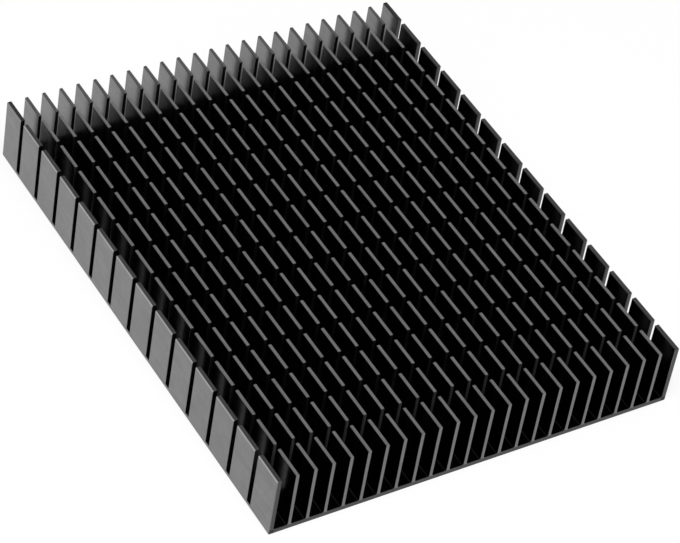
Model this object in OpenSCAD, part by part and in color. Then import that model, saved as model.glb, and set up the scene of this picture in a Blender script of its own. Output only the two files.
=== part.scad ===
// Pin fin heat sink in one piece of aluminium.
//
// It is made as the real one is. A die gives an extrusion with a thin plate and
// straight fins along its whole length. A gang of saws then crosses all the fins
// at once, and leaves rows of flat, square-ended pins on the plate.
//
// X runs across the fins, Y runs along the extrusion and Z points up, away from
// the mounting face. The origin is the centre of the mounting face.

/* [Base plate] */
// Width of the sink, across the fins
sink_w = 100; // [80:1:160]
// Length of the sink, along the fins
sink_l = 125; // [90:1:200]
// Thickness of the plate at the floor of the channels
plate_t = 1.2; // [0.8:0.1:4]
// Radius along the two lower edges of the extrusion
foot_r = 0.3; // [0.1:0.1:0.6]

/* [Fins] */
// Number of fins across the width
fin_count = 24; // [12:1:28]
// Height of the fin tips above the mounting face
sink_h = 16; // [8:0.5:40]
// Thickness of each inner fin
fin_t = 0.8; // [0.6:0.1:1.4]
// Thickness of the two outer fins, which take the knocks
outer_fin_t = 1.1; // [0.7:0.1:1.6]
// Radius on both edges of a fin's tip
tip_r = 0.2; // [0.1:0.05:0.3]
// Fillet where a fin's side meets the plate
root_r = 0.4; // [0.1:0.1:0.6]

/* [Cross cuts] */
// Number of saw cuts across the fins
cut_count = 13; // [4:1:15]
// Width of one saw cut
cut_w = 1.5; // [0.8:0.1:3]
// Length of the pins in the front row, ahead of the first cut
front_pin_l = 8; // [4:0.1:12]
// Length of the pins in the back row, behind the last cut
back_pin_l = 6.9; // [4:0.1:12]
// How far the saws run below the floor of the channels
cut_below = 0.3; // [0.1:0.1:0.5]

/* [Hidden] */

// Even spacing of the fins: the two outer ones are flush with the plate's sides
fin_pitch = (sink_w - outer_fin_t) / (fin_count - 1);
// Even spacing of the cuts, between the end rows
cut_pitch = (sink_l - front_pin_l - back_pin_l - cut_w) / (cut_count - 1);
// How far a cutting shape runs past the metal that it removes
past = 1;
// Sides of a full circle in the small radii
arc_fn = 24;

// Places of the fins' middles across the width
function fin_x(i) = (i - (fin_count - 1) / 2) * fin_pitch;

// Half the thickness of each fin
function fin_half(i) = (i == 0 || i == fin_count - 1 ? outer_fin_t : fin_t) / 2;

// Place of the near side of each cut along the length
function cut_y(j) = front_pin_l + j * cut_pitch - sink_l / 2;

// What rounding takes off a square corner that points to +X +Y
module corner_waste(r) {
    difference() {
        translate([-r, -r]) square(r + past);
        translate([-r, -r]) circle(r, $fn = arc_fn);
    }
}

// What the die leaves open between two fins, w wide, with its floor at y = 0
module channel_section(w) {
    depth = sink_h - plate_t;
    translate([-w / 2, root_r]) square([w, depth - root_r + past]);
    translate([root_r - w / 2, 0]) square([w - 2 * root_r, root_r + past]);
    for (side = [-1, 1])
        translate([side * (w / 2 - root_r), root_r]) circle(root_r, $fn = arc_fn);
}

// The extrusion's section: X across the fins, Y up
module comb_section() {
    difference() {
        translate([-sink_w / 2, 0]) square([sink_w, sink_h]);

        // channels between the fins
        for (i = [0 : fin_count - 2]) {
            left = fin_x(i) + fin_half(i);
            right = fin_x(i + 1) - fin_half(i + 1);
            translate([(left + right) / 2, plate_t]) channel_section(right - left);
        }

        // rounded fin tips
        for (i = [0 : fin_count - 1], side = [0, 1])
            translate([fin_x(i), sink_h])
                mirror([side, 0]) translate([fin_half(i), 0]) corner_waste(tip_r);

        // rounded lower edges
        for (side = [0, 1])
            mirror([side, 0]) translate([sink_w / 2, 0])
                mirror([0, 1]) corner_waste(foot_r);
    }
}

// One pass of the saws, across all the fins and a little into the plate
module saw_cut() {
    floor_z = plate_t - cut_below;
    translate([-sink_w / 2 - past, 0, floor_z])
        cube([sink_w + 2 * past, cut_w, sink_h - floor_z + past]);
}

module heat_sink() {
    color([0.09, 0.09, 0.09])
        difference() {
            translate([0, sink_l / 2, 0]) rotate([90, 0, 0])
                linear_extrude(sink_l) comb_section();
            for (j = [0 : cut_count - 1])
                translate([0, cut_y(j), 0]) saw_cut();
        }
}

heat_sink();
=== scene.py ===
# %% [markdown]
# # A black pin fin heat sink
#
# A pin fin heat sink is one piece of aluminium. A press pushes hot metal through a die, and what comes
# out is a long bar with a thin plate and straight fins. A gang of saws then crosses all the fins at
# once, which leaves rows of flat pins, and the piece is anodised black.
#
# This lesson builds the same thing in the same order: the die's outline, the pushed bar, the cut rows,
# the two surfaces that the die and the saws leave, and a studio to look at them in. Lengths are in metres,
# and most are written as so many MM.

# %% Load the fixed frame
import math

import bmesh
import bpy
from mathutils import Matrix, Vector


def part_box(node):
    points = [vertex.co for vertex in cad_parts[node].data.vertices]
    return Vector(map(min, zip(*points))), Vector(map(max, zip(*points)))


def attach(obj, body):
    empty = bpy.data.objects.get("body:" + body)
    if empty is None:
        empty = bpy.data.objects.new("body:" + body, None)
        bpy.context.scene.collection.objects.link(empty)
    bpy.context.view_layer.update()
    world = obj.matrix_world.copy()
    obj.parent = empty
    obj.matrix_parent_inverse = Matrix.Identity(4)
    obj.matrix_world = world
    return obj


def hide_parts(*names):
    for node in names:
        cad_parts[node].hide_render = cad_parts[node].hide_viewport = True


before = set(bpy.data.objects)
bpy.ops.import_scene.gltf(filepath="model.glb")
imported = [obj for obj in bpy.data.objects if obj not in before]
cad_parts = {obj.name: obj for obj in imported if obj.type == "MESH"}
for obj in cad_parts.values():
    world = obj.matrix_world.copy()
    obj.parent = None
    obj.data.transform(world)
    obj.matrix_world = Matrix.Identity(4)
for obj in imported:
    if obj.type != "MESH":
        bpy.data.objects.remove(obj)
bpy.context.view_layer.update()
MM = 0.001
sink_low, sink_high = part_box("heat_sink")
sink_size = sink_high - sink_low
print("sink, in mm:", [round(side / MM, 2) for side in sink_size])

# %% [markdown]
# ## The camera
#
# A long lens from high up on the left front keeps the rows of pins almost parallel. The camera leans a
# little to its left, so the sink lies across the view at a lively angle. A camera can be placed with
# a constraint, or by hand. Here the aim point, the two angles, the lean and the distance are plain numbers,
# and one matrix is worked out from them, because each can then be changed on its own.

# %% Place the camera
LENS_MM = 175.07
AIM = Vector((-1.91, -6.91, 8.0)) * MM
AZIMUTH, ELEVATION, LEAN = (math.radians(angle) for angle in (-37.26, 43.05, 10.54))
DISTANCE = 727.6 * MM


def camera_matrix(aim, azimuth, elevation, lean, distance):
    """Where a camera stands that looks at aim: azimuth 0 looks along +Y, lean turns it to its left."""
    back = Vector((
        math.sin(azimuth) * math.cos(elevation),
        -math.cos(azimuth) * math.cos(elevation),
        math.sin(elevation),
    ))
    level = (-back).to_track_quat("-Z", "Y").to_matrix().to_4x4()
    return Matrix.Translation(aim + back * distance) @ level @ Matrix.Rotation(lean, 4, "Z")


camera_data = bpy.data.cameras.new("camera")
camera_data.lens = LENS_MM
camera_data.clip_start, camera_data.clip_end = 0.05, 20.0
camera = bpy.data.objects.new("camera", camera_data)
camera.matrix_world = camera_matrix(AIM, AZIMUTH, ELEVATION, LEAN, DISTANCE)
bpy.context.scene.collection.objects.link(camera)
bpy.context.scene.camera = camera
bpy.context.scene.view_settings.view_transform = "Standard"
print("camera stands at, in mm:", [round(c / MM) for c in camera.location])

# %% [markdown]
# ## Helpers for node trees
#
# Every tree in this lesson is written in code. Four small helpers keep that readable: one adds a node and
# fills its inputs with plain values or with other nodes' outputs, one does a sum on fields, and two pack
# three numbers into a vector and take them out again.

# %% Helpers: add a node, do a sum, pack and unpack a vector
def add(tree, kind, inputs=None, **settings):
    """A new node in tree. inputs maps a socket's name or number to a value or to another node's output."""
    node = tree.nodes.new(kind)
    for setting, value in settings.items():
        setattr(node, setting, value)
    for key, value in (inputs or {}).items():
        if isinstance(value, bpy.types.NodeSocket):
            tree.links.new(value, node.inputs[key])
        else:
            node.inputs[key].default_value = value
    return node


def sum_of(tree, operation, a, b=0.0, c=0.0):
    """The output of a Math node."""
    return add(tree, "ShaderNodeMath", {0: a, 1: b, 2: c}, operation=operation).outputs[0]


def vector_of(tree, x=0.0, y=0.0, z=0.0):
    """Three numbers as one vector."""
    return add(tree, "ShaderNodeCombineXYZ", {"X": x, "Y": y, "Z": z}).outputs[0]


def parts_of(tree, vector):
    """The x, y and z of a vector."""
    return add(tree, "ShaderNodeSeparateXYZ", {"Vector": vector}).outputs


# %% [markdown]
# ## The die's outline
#
# The section of the bar repeats one shape: half a channel floor, a fillet, up one side of a fin, over its
# rounded tip, down again and out along the next half floor. So the outline of one fin is drawn once, as
# six corners. Fillet Curve rounds four of them, and copies at the fin pitch join end to end to a comb.
#
# Geometry Nodes suit this, because the whole sink follows a rule and every size stays a named input.
# The outline lies in the XY plane, where Fill Curve can close it later on.

# %% Named sizes of the heat sink
SIZES = {
    "Width": sink_size.x,
    "Length": sink_size.y,
    "Height": sink_size.z,
    "Fin Thickness": 0.8 * MM,
    "Outer Fin Thickness": 1.1 * MM,
    "Plate Thickness": 1.2 * MM,
    "Cut Depth In Plate": 0.3 * MM,
    "Cut Width": 1.5 * MM,
    "Front Pin Length": 8.0 * MM,
    "Back Pin Length": 6.9 * MM,
    "Tip Radius": 0.2 * MM,
    "Root Radius": 0.4 * MM,
    "Foot Radius": 0.3 * MM,
}
COUNTS = {"Fin Count": 24, "Cut Count": 13, "Arc Steps": 5}
WELD = 0.001 * MM

tree = bpy.data.node_groups.new("pin_fin_heat_sink", "GeometryNodeTree")
for name in SIZES:
    tree.interface.new_socket(name, in_out="INPUT", socket_type="NodeSocketFloat")
for name in COUNTS:
    tree.interface.new_socket(name, in_out="INPUT", socket_type="NodeSocketInt")
for name in ("Drawn", "Sawn"):
    tree.interface.new_socket(name, in_out="INPUT", socket_type="NodeSocketMaterial")
tree.interface.new_socket("Mesh", in_out="OUTPUT", socket_type="NodeSocketGeometry")
given = tree.nodes.new("NodeGroupInput").outputs
print("inputs of the tree:", [socket.name for socket in given if socket.name])


# %% An outline from corners, rounded by index
def switch_by_index(tree, values, index):
    """The value whose place in the list is index, for each point."""
    node = add(tree, "GeometryNodeIndexSwitch", data_type="FLOAT")
    while len(node.index_switch_items) < len(values):
        node.index_switch_items.new()
    tree.links.new(index, node.inputs[0])
    for place, value in enumerate(values, start=1):
        if isinstance(value, bpy.types.NodeSocket):
            tree.links.new(value, node.inputs[place])
        else:
            node.inputs[place].default_value = value
    return node.outputs[0]


def rounded_outline(tree, corners, arc_steps):
    """Edges through corners, each (x, y, radius), as a mesh."""
    index = add(tree, "GeometryNodeInputIndex").outputs[0]
    x, y, radius = (switch_by_index(tree, column, index) for column in zip(*corners))
    line = add(tree, "GeometryNodeMeshLine", {"Count": len(corners)})
    placed = add(tree, "GeometryNodeSetPosition",
                 {"Geometry": line.outputs[0], "Position": vector_of(tree, x, y)})
    curve = add(tree, "GeometryNodeMeshToCurve", {"Mesh": placed.outputs[0]})
    rounded = add(tree, "GeometryNodeFilletCurve",
                  {"Curve": curve.outputs[0], "Count": arc_steps, "Radius": radius, "Limit Radius": True},
                  mode="POLY")
    return add(tree, "GeometryNodeCurveToMesh", {"Curve": rounded.outputs[0]}).outputs[0]


# %% The outline of one fin
half_width = sum_of(tree, "MULTIPLY", given["Width"], 0.5)
half_outer_fin = sum_of(tree, "MULTIPLY", given["Outer Fin Thickness"], 0.5)
last_fin = sum_of(tree, "SUBTRACT", given["Fin Count"], 1.0)
between_outer_fins = sum_of(tree, "SUBTRACT", given["Width"], given["Outer Fin Thickness"])
fin_pitch = sum_of(tree, "DIVIDE", between_outer_fins, last_fin)


def fin_outline(tree, thickness):
    """Half a channel floor, up one side of a fin, over its tip, down again and half a floor more."""
    right_side = sum_of(tree, "MULTIPLY", thickness, 0.5)
    right_channel = sum_of(tree, "MULTIPLY", fin_pitch, 0.5)
    left_side = sum_of(tree, "MULTIPLY", right_side, -1.0)
    left_channel = sum_of(tree, "MULTIPLY", right_channel, -1.0)
    return rounded_outline(tree, [
        (left_channel, given["Plate Thickness"], 0.0),
        (left_side, given["Plate Thickness"], given["Root Radius"]),
        (left_side, given["Height"], given["Tip Radius"]),
        (right_side, given["Height"], given["Tip Radius"]),
        (right_side, given["Plate Thickness"], given["Root Radius"]),
        (right_channel, given["Plate Thickness"], 0.0),
    ], given["Arc Steps"])


print("nodes with the helpers for a fin:", len(tree.nodes))

# %% [markdown]
# ## The comb
#
# Copies of the fin's outline stand at the fin pitch. The two outer fins are thicker, as they often are on
# a real sink, because they take the knocks. They stand flush with the sides of the plate, so what their
# copies have outside the plate is pressed back onto its side. The outline then reaches down to the floor
# of the saw cuts.


# %% The comb, from copies of the fin
WHOLE_A, WHOLE_B = 2, 3


def same_number(tree, number, wanted):
    """Whether two whole numbers are the same. A Compare node has its two whole numbers at inputs 2 and 3."""
    node = add(tree, "FunctionNodeCompare", {WHOLE_A: number, WHOLE_B: wanted},
               data_type="INT", operation="EQUAL")
    return node.outputs[0]


left_edge = sum_of(tree, "MULTIPLY", half_width, -1.0)
first_fin = vector_of(tree, sum_of(tree, "ADD", left_edge, half_outer_fin))
fin_places = add(tree, "GeometryNodeMeshLine",
                 {"Count": given["Fin Count"], "Start Location": first_fin,
                  "Offset": vector_of(tree, fin_pitch)})
fin_number = add(tree, "GeometryNodeInputIndex").outputs[0]
is_outer = add(tree, "FunctionNodeBooleanMath",
               {0: same_number(tree, fin_number, 0), 1: same_number(tree, fin_number, last_fin)},
               operation="OR").outputs[0]
is_inner = add(tree, "FunctionNodeBooleanMath", {0: is_outer}, operation="NOT").outputs[0]


def fins_at(tree, selection, thickness):
    """Outlines of fins of one thickness at the chosen places."""
    outline = fin_outline(tree, thickness)
    return add(tree, "GeometryNodeInstanceOnPoints",
               {"Points": fin_places.outputs[0], "Selection": selection, "Instance": outline}).outputs[0]


def joined(tree, *pieces):
    """Several geometries as one."""
    node = tree.nodes.new("GeometryNodeJoinGeometry")
    for piece in reversed(pieces):
        tree.links.new(piece, node.inputs[0])
    return node.outputs[0]


fins = joined(tree, fins_at(tree, is_outer, given["Outer Fin Thickness"]),
              fins_at(tree, is_inner, given["Fin Thickness"]))
loose_comb = add(tree, "GeometryNodeRealizeInstances", {0: fins})
position = add(tree, "GeometryNodeInputPosition").outputs[0]
across, upwards = parts_of(tree, position)[:2]
inside = add(tree, "ShaderNodeClamp", {"Value": across, "Min": left_edge, "Max": half_width}).outputs[0]
pressed = add(tree, "GeometryNodeSetPosition",
              {"Geometry": loose_comb.outputs[0], "Position": vector_of(tree, inside, upwards)})
welded = add(tree, "GeometryNodeMergeByDistance", {"Geometry": pressed.outputs[0], "Distance": WELD})
neighbours = add(tree, "GeometryNodeInputMeshVertexNeighbors").outputs[0]
is_end = same_number(tree, neighbours, 1)
to_cut_floor = vector_of(tree, 0.0, sum_of(tree, "MULTIPLY", given["Cut Depth In Plate"], -1.0))
deepened = add(tree, "GeometryNodeExtrudeMesh",
               {"Mesh": welded.outputs[0], "Selection": is_end, "Offset": to_cut_floor},
               mode="VERTICES")
in_order = add(tree, "GeometryNodeMeshToCurve", {"Mesh": deepened.outputs[0]})
comb = add(tree, "GeometryNodeCurveToMesh", {"Curve": in_order.outputs[0]}).outputs[0]
print("nodes with the comb:", len(tree.nodes))

# %% The part of the plate under the saw cuts
cut_floor = sum_of(tree, "SUBTRACT", given["Plate Thickness"], given["Cut Depth In Plate"])
plate = rounded_outline(tree, [
    (left_edge, cut_floor, 0.0),
    (left_edge, 0.0, given["Foot Radius"]),
    (half_width, 0.0, given["Foot Radius"]),
    (half_width, cut_floor, 0.0),
], given["Arc Steps"])
floor_line = rounded_outline(tree, [(half_width, cut_floor, 0.0), (left_edge, cut_floor, 0.0)], 1)
print("nodes with the plate:", len(tree.nodes))

# %% [markdown]
# ## From outline to rows
#
# The walls of a bar are its outline pushed along its length. A block one metre long is made once, and
# scaled to the length of each row, so one walled block serves all the rows. A saw cut is the same with
# the low outline. The ends that the saws leave are the closed outline, filled.
#
# A boolean could cut the rows as the real saws do. Building each row to length gives the same solid with
# far tidier faces, and tidy faces take a clean bevel afterwards.

# %% Walls and ends
push = vector_of(tree, 0.0, 0.0, -1.0)


def pushed(tree, outline):
    """The walls that outline sweeps when it is pushed one metre along -Z."""
    walls = add(tree, "GeometryNodeExtrudeMesh", {"Mesh": outline, "Offset": push}, mode="EDGES")
    return walls.outputs[0]


def filled(tree, outline):
    """The face inside outline, with its end points joined."""
    curve = add(tree, "GeometryNodeMeshToCurve", {"Mesh": outline})
    ring = add(tree, "GeometryNodeSetSplineCyclic", {"Geometry": curve.outputs[0], "Cyclic": True})
    return add(tree, "GeometryNodeFillCurve", {"Curve": ring.outputs[0]}, mode="NGONS").outputs[0]


def moved(tree, piece, by):
    """The piece moved by a vector."""
    return add(tree, "GeometryNodeTransform", {"Geometry": piece, "Translation": by}).outputs[0]


def turned_over(tree, piece):
    """The piece with its faces pointing the other way."""
    return add(tree, "GeometryNodeFlipFaces", {"Mesh": piece}).outputs[0]


def finished(tree, piece, material):
    """The piece with a material on all its faces."""
    return add(tree, "GeometryNodeSetMaterial", {"Geometry": piece, "Material": material}).outputs[0]


comb_end = filled(tree, comb)
plate_end = filled(tree, plate)
row_block = joined(
    tree,
    finished(tree, joined(tree, turned_over(tree, pushed(tree, comb)), pushed(tree, plate)), given["Drawn"]),
    finished(tree, joined(tree, comb_end, turned_over(tree, moved(tree, comb_end, push))), given["Sawn"]),
)
cut_block = joined(
    tree,
    finished(tree, pushed(tree, plate), given["Drawn"]),
    finished(tree, pushed(tree, floor_line), given["Sawn"]),
)
print("nodes with the two blocks:", len(tree.nodes))

# %% Where each row and each cut starts, and how long it is
half_length = sum_of(tree, "MULTIPLY", given["Length"], 0.5)
ends = sum_of(tree, "ADD", given["Front Pin Length"], given["Back Pin Length"])
between_ends = sum_of(tree, "SUBTRACT", sum_of(tree, "SUBTRACT", given["Length"], ends), given["Cut Width"])
cut_pitch = sum_of(tree, "DIVIDE", between_ends, sum_of(tree, "SUBTRACT", given["Cut Count"], 1.0))
middle_pin = sum_of(tree, "SUBTRACT", cut_pitch, given["Cut Width"])
row_number = add(tree, "GeometryNodeInputIndex").outputs[0]


def choose(tree, condition, if_false, if_true):
    """One of two numbers for each point."""
    node = add(tree, "GeometryNodeSwitch", {"Switch": condition, "False": if_false, "True": if_true},
               input_type="FLOAT")
    return node.outputs[0]


is_front = same_number(tree, row_number, 0)
is_back = same_number(tree, row_number, given["Cut Count"])
inner_start = sum_of(tree, "SUBTRACT", given["Front Pin Length"], middle_pin)
later_start = sum_of(tree, "MULTIPLY_ADD", row_number, cut_pitch, inner_start)
row_start = choose(tree, is_front, later_start, 0.0)
row_length = choose(tree, is_front, choose(tree, is_back, middle_pin, given["Back Pin Length"]),
                    given["Front Pin Length"])
cut_start = sum_of(tree, "MULTIPLY_ADD", row_number, cut_pitch, given["Front Pin Length"])
print("nodes with the places of the rows:", len(tree.nodes))


# %% Rows and cuts in line, welded to one closed skin
def in_line(tree, count, start, length, block):
    """Copies of block, each from its own start and scaled to its own length."""
    place = vector_of(tree, 0.0, 0.0, sum_of(tree, "SUBTRACT", half_length, start))
    points = add(tree, "GeometryNodeMeshLine", {"Count": count})
    placed = add(tree, "GeometryNodeSetPosition", {"Geometry": points.outputs[0], "Position": place})
    copies = add(tree, "GeometryNodeInstanceOnPoints",
                 {"Points": placed.outputs[0], "Instance": block, "Scale": vector_of(tree, 1.0, 1.0, length)})
    return copies.outputs[0]


row_count = sum_of(tree, "ADD", given["Cut Count"], 1.0)
front = vector_of(tree, 0.0, 0.0, half_length)
back = vector_of(tree, 0.0, 0.0, sum_of(tree, "MULTIPLY", half_length, -1.0))
plate_ends = joined(tree, moved(tree, plate_end, front), turned_over(tree, moved(tree, plate_end, back)))
parts = joined(
    tree,
    in_line(tree, row_count, row_start, row_length, row_block),
    in_line(tree, given["Cut Count"], cut_start, given["Cut Width"], cut_block),
    finished(tree, plate_ends, given["Sawn"]),
)
real = add(tree, "GeometryNodeRealizeInstances", {0: parts})
skin = add(tree, "GeometryNodeMergeByDistance", {"Geometry": real.outputs[0], "Distance": WELD})
upright = add(tree, "GeometryNodeTransform",
              {"Geometry": skin.outputs[0], "Rotation": (math.radians(90.0), 0.0, 0.0)})
add(tree, "NodeGroupOutput", {0: upright.outputs[0]})
print("nodes in the whole tree:", len(tree.nodes))


# %% [markdown]
# ## The black surface
#
# Anodising grows a thin, hard oxide on the aluminium, and a dye turns it black. The metal beneath still
# mirrors the room, but weakly, because the dye takes most of the light. So each finish is a dark metal,
# not a black paint: broad faces pick up a grey from a bright studio, and the gaps between the pins,
# where the light bounces from pin to pin, go black by themselves. Painted shade makes the channels darker
# still.
#
# Three effects are shared by all the finishes, so each is a node group. The first is the cloudiness of the
# dyed oxide, and the second is the fine lines that a tool leaves, with inputs for their spacing and length.
# Both are noise, which is the same wherever the sink is seen from and never repeats along it. Noise keeps
# close to its middle, so it is stretched to use the whole range.


# %% Helper: a new shader node group
def new_group(name, inputs, output):
    """A shader node group with the given inputs and one number as its output."""
    group = bpy.data.node_groups.new(name, "ShaderNodeTree")
    for label, kind in inputs.items():
        group.interface.new_socket(label, in_out="INPUT", socket_type=kind)
    group.interface.new_socket(output, in_out="OUTPUT", socket_type="NodeSocketFloat")
    return group, group.nodes.new("NodeGroupInput").outputs, group.nodes.new("NodeGroupOutput").inputs


# %% Helper: noise that uses the whole range
NOISE_LOW, NOISE_HIGH = 0.3, 0.7


def full_noise(tree, vector, scale, detail, roughness):
    """A noise from 0 to 1. Few of its values lie outside 0.3 to 0.7 before it is stretched."""
    noise = add(tree, "ShaderNodeTexNoise",
                {"Vector": vector, "Scale": scale, "Detail": detail, "Roughness": roughness})
    full = add(tree, "ShaderNodeMapRange",
               {"Value": noise.outputs[0], "From Min": NOISE_LOW, "From Max": NOISE_HIGH})
    return full.outputs[0]


# %% Node group: the cloudiness of the oxide
oxide_cloud, wanted, result = new_group(
    "oxide_cloud", {"Position": "NodeSocketVector", "Patch Size": "NodeSocketFloat"}, "Cloud")
per_patch = sum_of(oxide_cloud, "DIVIDE", 1.0, wanted["Patch Size"])
cloud = full_noise(oxide_cloud, wanted["Position"], scale=per_patch, detail=5.0, roughness=0.62)
oxide_cloud.links.new(cloud, result["Cloud"])
print("node group:", oxide_cloud.name)

# %% Node group: the lines that a tool leaves
tool_lines, wanted, result = new_group(
    "tool_lines",
    {"Position": "NodeSocketVector", "Spacing": "NodeSocketFloat", "Line Length": "NodeSocketFloat"},
    "Lines")
grid = vector_of(tool_lines, wanted["Spacing"], wanted["Line Length"], wanted["Spacing"])
in_lines = add(tool_lines, "ShaderNodeVectorMath", {0: wanted["Position"], 1: grid}, operation="DIVIDE")
streaks = full_noise(tool_lines, in_lines.outputs[0], scale=1.0, detail=2.0, roughness=0.6)
tool_lines.links.new(streaks, result["Lines"])
print("node group:", tool_lines.name)

# %% [markdown]
# The third group paints light and shade by place on the sink. Painted shade darkens the tips, more so on
# the back row, and most of all the tips and ends of the two outer fins. Painted shade also darkens the
# depths of the channels and the low strip of the sawn faces, on the ends of the plate and the floors of
# the saw cuts. A painted highlight lightens the outermost upper edges.
#
# Each of these places follows from where a point is on the sink, so the group needs nothing but its
# position. Painting masks by hand would do the same for one sink, but not for one of another size.


# %% Helpers: masks with a soft edge
def past(tree, value, start, end):
    """0 below start, 1 above end, and a soft step from one to the other."""
    step = add(tree, "ShaderNodeMapRange", {"Value": value, "From Min": start, "From Max": end},
               interpolation_type="SMOOTHSTEP")
    return step.outputs[0]


def near(tree, value, limit, reach):
    """1 close below a limit. reach is how far from the limit the mask starts, and where it is full."""
    return past(tree, value, limit - reach[0], limit - reach[1])


def all_of(tree, *masks):
    """1 where every mask is 1."""
    product = masks[0]
    for mask in masks[1:]:
        product = sum_of(tree, "MULTIPLY", product, mask)
    return product


def none_of(tree, mask):
    """1 where the mask is 0."""
    return sum_of(tree, "SUBTRACT", 1.0, mask)


# %% Node group: painted shade and highlight by place
# The places where the group paints shade, and the outer upper edges, where it paints a highlight.
PLACES = ("Tip Shade", "Back Tip Shade", "Outer Tip Shade", "Outer End Shade", "Channel Shade", "Low Shade", "Edge Highlight")
SIDE, BACK, TOP = sink_size.x / 2, sink_size.y / 2, sink_size.z
# The outer fins, whose tips and ends get more painted shade.
OUTER_FIN_REACH = (1.25 * MM, 1.15 * MM)
SIDE_FACE_REACH = (0.2 * MM, 0.14 * MM)
BACK_ROW_REACH = (8.0 * MM, 7.0 * MM)
# How far below the top the painted shade on the tips reaches.
TIP_REACH = (0.3 * MM, 0.1 * MM)
# How far below the top the painted highlight on the outer upper edges reaches.
HIGHLIGHT_REACH = (0.4 * MM, 0.15 * MM)
# Where the painted shade in the channels fades out, from 5 to 12 mm up.
DEPTHS_FADE = (5.0 * MM, 12.0 * MM)
# Where the painted shade low on the sawn faces fades out.
RIM_FADE = (1.1 * MM, 1.3 * MM)
FOOT_FADE = (0.5 * MM, 0.6 * MM)

# A group that paints shade and a highlight by place. Its tone is a factor on the colour.
painted_shade_and_highlight, wanted, result = new_group(
    "painted_shade_and_highlight", {"Position": "NodeSocketVector", **{place: "NodeSocketFloat" for place in PLACES}}, "Tone")
x, y, z = parts_of(painted_shade_and_highlight, wanted["Position"])
from_middle = sum_of(painted_shade_and_highlight, "ABSOLUTE", x)
outer_fin = near(painted_shade_and_highlight, from_middle, SIDE, OUTER_FIN_REACH)
side_face = near(painted_shade_and_highlight, from_middle, SIDE, SIDE_FACE_REACH)
not_side = none_of(painted_shade_and_highlight, side_face)
back_row = near(painted_shade_and_highlight, y, BACK, BACK_ROW_REACH)
tip = near(painted_shade_and_highlight, z, TOP, TIP_REACH)
# The band just below the top that carries the painted highlight on the outer side faces.
highlight_band = near(painted_shade_and_highlight, z, TOP, HIGHLIGHT_REACH)
above_foot = past(painted_shade_and_highlight, z, *FOOT_FADE)
deep = none_of(painted_shade_and_highlight, past(painted_shade_and_highlight, z, *DEPTHS_FADE))
rim = none_of(painted_shade_and_highlight, past(painted_shade_and_highlight, z, *RIM_FADE))
masks = {
    # Painted shade on the tips, deeper on the back row and deepest on the outer fins.
    "Tip Shade": tip,
    "Back Tip Shade": all_of(painted_shade_and_highlight, tip, back_row),
    "Outer Tip Shade": all_of(painted_shade_and_highlight, tip, outer_fin, not_side),
    # Painted shade on the sawn ends of the two outer fins.
    "Outer End Shade": all_of(painted_shade_and_highlight, outer_fin, not_side),
    # Painted shade in the channels, full below 5 mm and gone above 12 mm.
    "Channel Shade": all_of(painted_shade_and_highlight, above_foot, deep, not_side),
    # Painted shade low on the sawn faces: the plate's ends and the floors of the saw cuts.
    "Low Shade": rim,
    # Painted highlight along the top edge of the outer side faces.
    "Edge Highlight": all_of(painted_shade_and_highlight, side_face, highlight_band),
}
tone = 1.0
for place in PLACES:
    change = sum_of(painted_shade_and_highlight, "SUBTRACT", wanted[place], 1.0)
    factor = sum_of(painted_shade_and_highlight, "MULTIPLY_ADD", masks[place], change, 1.0)
    tone = sum_of(painted_shade_and_highlight, "MULTIPLY", tone, factor)
painted_shade_and_highlight.links.new(tone, result["Tone"])
print("node group:", painted_shade_and_highlight.name, "for", PLACES)

# %% [markdown]
# ## Three finishes
#
# The faces that the die made carry long fine lines along the extrusion. The ends of the pins carry arcs
# from the saw's teeth: a disc that moves along X leaves arcs of its own radius, so the coordinate across
# the marks is x minus the disc's half width at that height. The edges were tumbled before anodising, and
# there the oxide is thinner and a little lighter. A painted highlight makes the outermost upper edges lighter
# still.
#
# A bump gives the lines their height, and the same lines change the colour and the gloss a little. An
# image would look coarse close up, and would need a flat layout for hundreds of pins.

# %% Where the lines run on each kind of face
SAW_RADIUS = 60.0 * MM


def along_extrusion(tree, position):
    """Lines along Y, as the die leaves them."""
    return position


def along_saw_arcs(tree, position):
    """Lines along the arcs of a saw disc that has its lowest point on the mounting face."""
    x, y, z = parts_of(tree, position)
    below_axis = sum_of(tree, "SUBTRACT", SAW_RADIUS, z)
    square = sum_of(tree, "MULTIPLY", below_axis, below_axis)
    rest = sum_of(tree, "MAXIMUM", sum_of(tree, "SUBTRACT", SAW_RADIUS ** 2, square), 0.0)
    half_disc = sum_of(tree, "SQRT", rest)
    return vector_of(tree, sum_of(tree, "SUBTRACT", x, half_disc), z, y)


# %% One finish: cloud and lines in the colour, the gloss and the height
CLOUD_SHARE = 0.5
NUMBER_A, NUMBER_B, COLOUR_A, COLOUR_B = 2, 3, 6, 7


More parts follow.
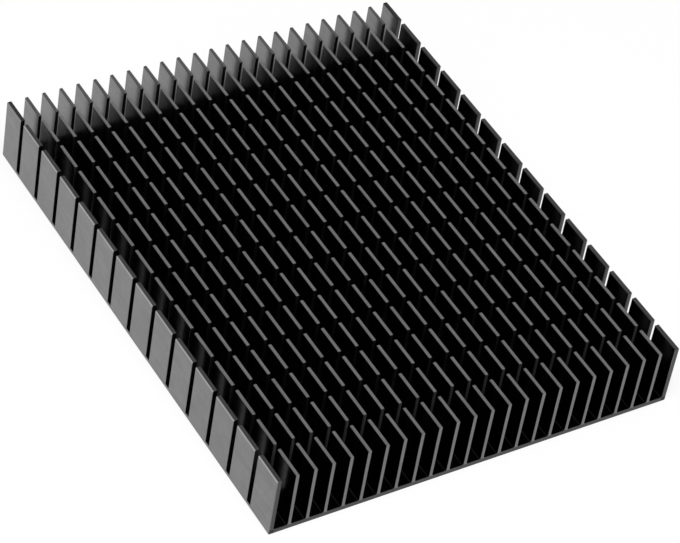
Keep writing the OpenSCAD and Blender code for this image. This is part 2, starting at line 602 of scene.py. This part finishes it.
def black_oxide(name, lines_run, spacing, line_length, line_height, patch, tones, gloss, painted_light):
    """A dyed oxide on metal. tones and gloss are pairs: at no cloud and lines, and at full ones.

    The last argument gives the shares of the tone that are left in the places of the group of painted
    light and shade: below 1 painted shade, above 1 a painted highlight. A Mix node has its two numbers at
    inputs 2 and 3, and its two colours at 6 and 7.
    """
    material = bpy.data.materials.new(name)
    material.use_nodes = True
    tree = material.node_tree
    shader = tree.nodes["Principled BSDF"]
    shader.inputs["Metallic"].default_value = 1.0
    position = add(tree, "ShaderNodeTexCoord").outputs["Object"]
    cloud = add(tree, "ShaderNodeGroup", {"Position": position, "Patch Size": patch},
                node_tree=oxide_cloud).outputs["Cloud"]
    lines = add(tree, "ShaderNodeGroup",
                {"Position": lines_run(tree, position), "Spacing": spacing, "Line Length": line_length},
                node_tree=tool_lines).outputs["Lines"]
    both = add(tree, "ShaderNodeMix", {"Factor": CLOUD_SHARE, NUMBER_A: lines, NUMBER_B: cloud}).outputs[0]
    colour = add(tree, "ShaderNodeMix",
                 {"Factor": both, COLOUR_A: (*tones[0], 1.0), COLOUR_B: (*tones[1], 1.0)},
                 data_type="RGBA").outputs[2]
    # Painted light and shade: the group's tone darkens the colour where shade is painted and lightens it on
    # the painted highlight.
    tone = add(tree, "ShaderNodeGroup", {"Position": position, **painted_light}, node_tree=painted_shade_and_highlight).outputs["Tone"]
    dyed_and_shaded = add(tree, "ShaderNodeVectorMath", {0: colour, "Scale": tone}, operation="SCALE").outputs[0]
    roughness = add(tree, "ShaderNodeMapRange",
                    {"Value": both, "To Min": gloss[0], "To Max": gloss[1]}).outputs[0]
    bump = add(tree, "ShaderNodeBump", {"Strength": 1.0, "Distance": line_height, "Height": lines})
    tree.links.new(dyed_and_shaded, shader.inputs["Base Color"])
    tree.links.new(roughness, shader.inputs["Roughness"])
    tree.links.new(bump.outputs[0], shader.inputs["Normal"])
    print("finish:", name)
    return material


# %% The three finishes of the sink
EVEN = dict.fromkeys(PLACES, 1.0)
# Shares below 1 paint shade on the tips, the outer fins' ends, the channels and the low sawn strip. The 2.4
# paints a highlight on the outer upper edges.
DRAWN_PAINTED_LIGHT = {**EVEN, "Tip Shade": 0.9, "Back Tip Shade": 0.6, "Outer Tip Shade": 0.35, "Channel Shade": 0.15, "Edge Highlight": 2.4}
SAWN_PAINTED_LIGHT = {**EVEN, "Outer End Shade": 0.4, "Low Shade": 0.4}

drawn_face = black_oxide(
    "drawn_face", along_extrusion, spacing=0.35 * MM, line_length=40.0 * MM, line_height=0.0015 * MM,
    patch=4.0 * MM, tones=((0.125, 0.125, 0.128), (0.2, 0.2, 0.202)), gloss=(0.16, 0.22), painted_light=DRAWN_PAINTED_LIGHT)
sawn_face = black_oxide(
    "sawn_face", along_saw_arcs, spacing=0.18 * MM, line_length=12.0 * MM, line_height=0.0015 * MM,
    patch=2.0 * MM, tones=((0.14, 0.14, 0.143), (0.19, 0.19, 0.192)), gloss=(0.28, 0.36), painted_light=SAWN_PAINTED_LIGHT)
eased_edge = black_oxide(
    "eased_edge", along_extrusion, spacing=0.6 * MM, line_length=3.0 * MM, line_height=0.001 * MM,
    patch=1.5 * MM, tones=((0.13, 0.13, 0.133), (0.22, 0.22, 0.222)), gloss=(0.3, 0.38), painted_light=DRAWN_PAINTED_LIGHT)

# %% [markdown]
# ## From the tree to a plain mesh
#
# The modifier gets its sizes by each socket's identifier, the evaluated object is read back as a plain
# mesh, and the modifier goes. A Bevel modifier then breaks the sharp edges, as tumbling does, and gives
# the new narrow faces their own finish. A mesh that is closed and wound one way all over can be measured,
# so its volume is printed as a check on the whole build.


# %% Run the tree
def plain_mesh(build):
    """The mesh of an object with its modifiers applied."""
    bpy.context.view_layer.update()
    depsgraph = bpy.context.evaluated_depsgraph_get()
    mesh = bpy.data.meshes.new_from_object(build.evaluated_get(depsgraph))
    build.modifiers.clear()
    build.data = mesh
    return mesh


body = bpy.data.objects.new("pin_fin_body", bpy.data.meshes.new("pin_fin_body"))
bpy.context.scene.collection.objects.link(body)
modifier = body.modifiers.new("pin fin heat sink", "NODES")
modifier.node_group = tree
identifiers = {item.name: item.identifier for item in tree.interface.items_tree if item.in_out == "INPUT"}
for name, value in {**SIZES, **COUNTS, "Drawn": drawn_face, "Sawn": sawn_face}.items():
    modifier[identifiers[name]] = value
mesh = plain_mesh(body)
finishes = [material.name for material in mesh.materials if material]
print("faces from the tree:", len(mesh.polygons), "with", finishes)

# %% Ease the edges
EDGE_WIDTH = 0.06 * MM
SHARP = math.radians(50.0)

mesh.materials.append(eased_edge)
bevel = body.modifiers.new("eased edges", "BEVEL")
bevel.width = EDGE_WIDTH
bevel.segments = 1
bevel.limit_method = "ANGLE"
bevel.angle_limit = SHARP
bevel.material = len(mesh.materials) - 1
mesh = plain_mesh(body)
mesh.name = "pin_fin_body"
mesh.shade_flat()
print("faces with eased edges:", len(mesh.polygons))

# %% Measure the result
CUBIC_CM = 1e-6
measured = bmesh.new()
measured.from_mesh(mesh)
open_edges = sum(1 for e in measured.edges if not e.is_manifold)
crossed_edges = sum(1 for e in measured.edges if e.is_manifold and not e.is_contiguous)
print("volume, in cubic cm:", round(measured.calc_volume(signed=True) / CUBIC_CM, 3))
print("open edges:", open_edges, "and edges between faces wound two ways:", crossed_edges)
measured.free()
print("triangles:", sum(len(face.vertices) - 2 for face in mesh.polygons))

# %% [markdown]
# ## The studio
#
# A dark metal shows what is around it, so the room matters more than the lamps. The floor is nearly white.
# To the camera and in reflections most of that white is the floor's own, and far from the sink, where no
# shadow falls, all of it is. The world is white to the camera and to reflections too, and dimmer as a light.
#
# One soft lamp hangs over the camera's shoulder, so the shadow falls behind the sink. The metal doesn't
# mirror the lamp, because a bright square in the pins' tips would hide their even grey. A tent of white
# cloth round a real sink does the same.

# %% Helper: what looks at a surface
def looked_at(tree):
    """1 for rays from the camera, from a reflection or through glass, and 0 for light that bounces on."""
    ray = add(tree, "ShaderNodeLightPath").outputs
    camera_or_glossy = sum_of(tree, "MAXIMUM", ray["Is Camera Ray"], ray["Is Glossy Ray"])
    return sum_of(tree, "MAXIMUM", camera_or_glossy, ray["Is Transmission Ray"])


# %% The floor
FLOOR_HALF_SIDE = 3.0
FLOOR_GAP = 0.05 * MM
OWN_WHITE = 0.75
SHADOW_REACH = 0.2
ALL_OWN_WHITE = 0.8

signs = ((-1, -1), (1, -1), (1, 1), (-1, 1))
corners = [(x * FLOOR_HALF_SIDE, y * FLOOR_HALF_SIDE, -FLOOR_GAP) for x, y in signs]
floor_mesh = bpy.data.meshes.new("floor")
floor_mesh.from_pydata(corners, [], [range(len(corners))])
floor = bpy.data.objects.new("floor", floor_mesh)
bpy.context.scene.collection.objects.link(floor)
white = bpy.data.materials.new("white_floor")
white.use_nodes = True
paint = white.node_tree.nodes["Principled BSDF"].inputs
paint["Base Color"].default_value = (0.95, 0.95, 0.95, 1.0)
paint["Roughness"].default_value = 1.0
paint["Specular IOR Level"].default_value = 0.0
floor_shader = white.node_tree
place = add(floor_shader, "ShaderNodeTexCoord").outputs["Object"]
away = add(floor_shader, "ShaderNodeVectorMath", {0: place}, operation="LENGTH").outputs["Value"]
own_white = add(floor_shader, "ShaderNodeMapRange",
                {"Value": away, "From Min": SHADOW_REACH, "From Max": ALL_OWN_WHITE,
                 "To Min": OWN_WHITE, "To Max": 1.0}).outputs[0]
own_share = sum_of(floor_shader, "MULTIPLY", looked_at(floor_shader), own_white)
glow = add(floor_shader, "ShaderNodeEmission", {"Strength": 1.0}).outputs[0]
painted = floor_shader.nodes["Principled BSDF"].outputs[0]
both = add(floor_shader, "ShaderNodeMixShader", {0: own_share, 1: painted, 2: glow}).outputs[0]
floor_shader.links.new(both, floor_shader.nodes["Material Output"].inputs["Surface"])
floor_mesh.materials.append(white)
print("floor, in metres across:", 2 * FLOOR_HALF_SIDE)

# %% The world
FILL = 0.3

world = bpy.data.worlds.new("studio")
bpy.context.scene.world = world
world.use_nodes = True
sky = world.node_tree
background = sky.nodes["Background"]
background.inputs["Color"].default_value = (1.0, 1.0, 1.0, 1.0)
strength = sum_of(sky, "MULTIPLY_ADD", looked_at(sky), 1.0 - FILL, FILL)
sky.links.new(strength, background.inputs["Strength"])
print("world as a light:", FILL)


# %% The lamps
def soft_lamp(name, side, radiance, azimuth, elevation, distance):
    """A square lamp that faces the sink. Its power follows from its side and how bright its face is."""
    light = bpy.data.lights.new(name, "AREA")
    light.size = side
    light.energy = radiance * math.pi * side ** 2
    lamp = bpy.data.objects.new(name, light)
    lamp.matrix_world = camera_matrix(
        Vector((0.0, 0.0, 0.0)), math.radians(azimuth), math.radians(elevation), 0.0, distance)
    bpy.context.scene.collection.objects.link(lamp)
    print("lamp:", name, round(light.energy, 1), "W")
    return lamp


key_light = soft_lamp("key_light", side=1.0, radiance=6.3, azimuth=-37.0, elevation=65.0, distance=1.4)
key_light.visible_glossy = False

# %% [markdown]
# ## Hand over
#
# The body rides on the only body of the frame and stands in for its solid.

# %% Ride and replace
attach(body, "root")
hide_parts("heat_sink")
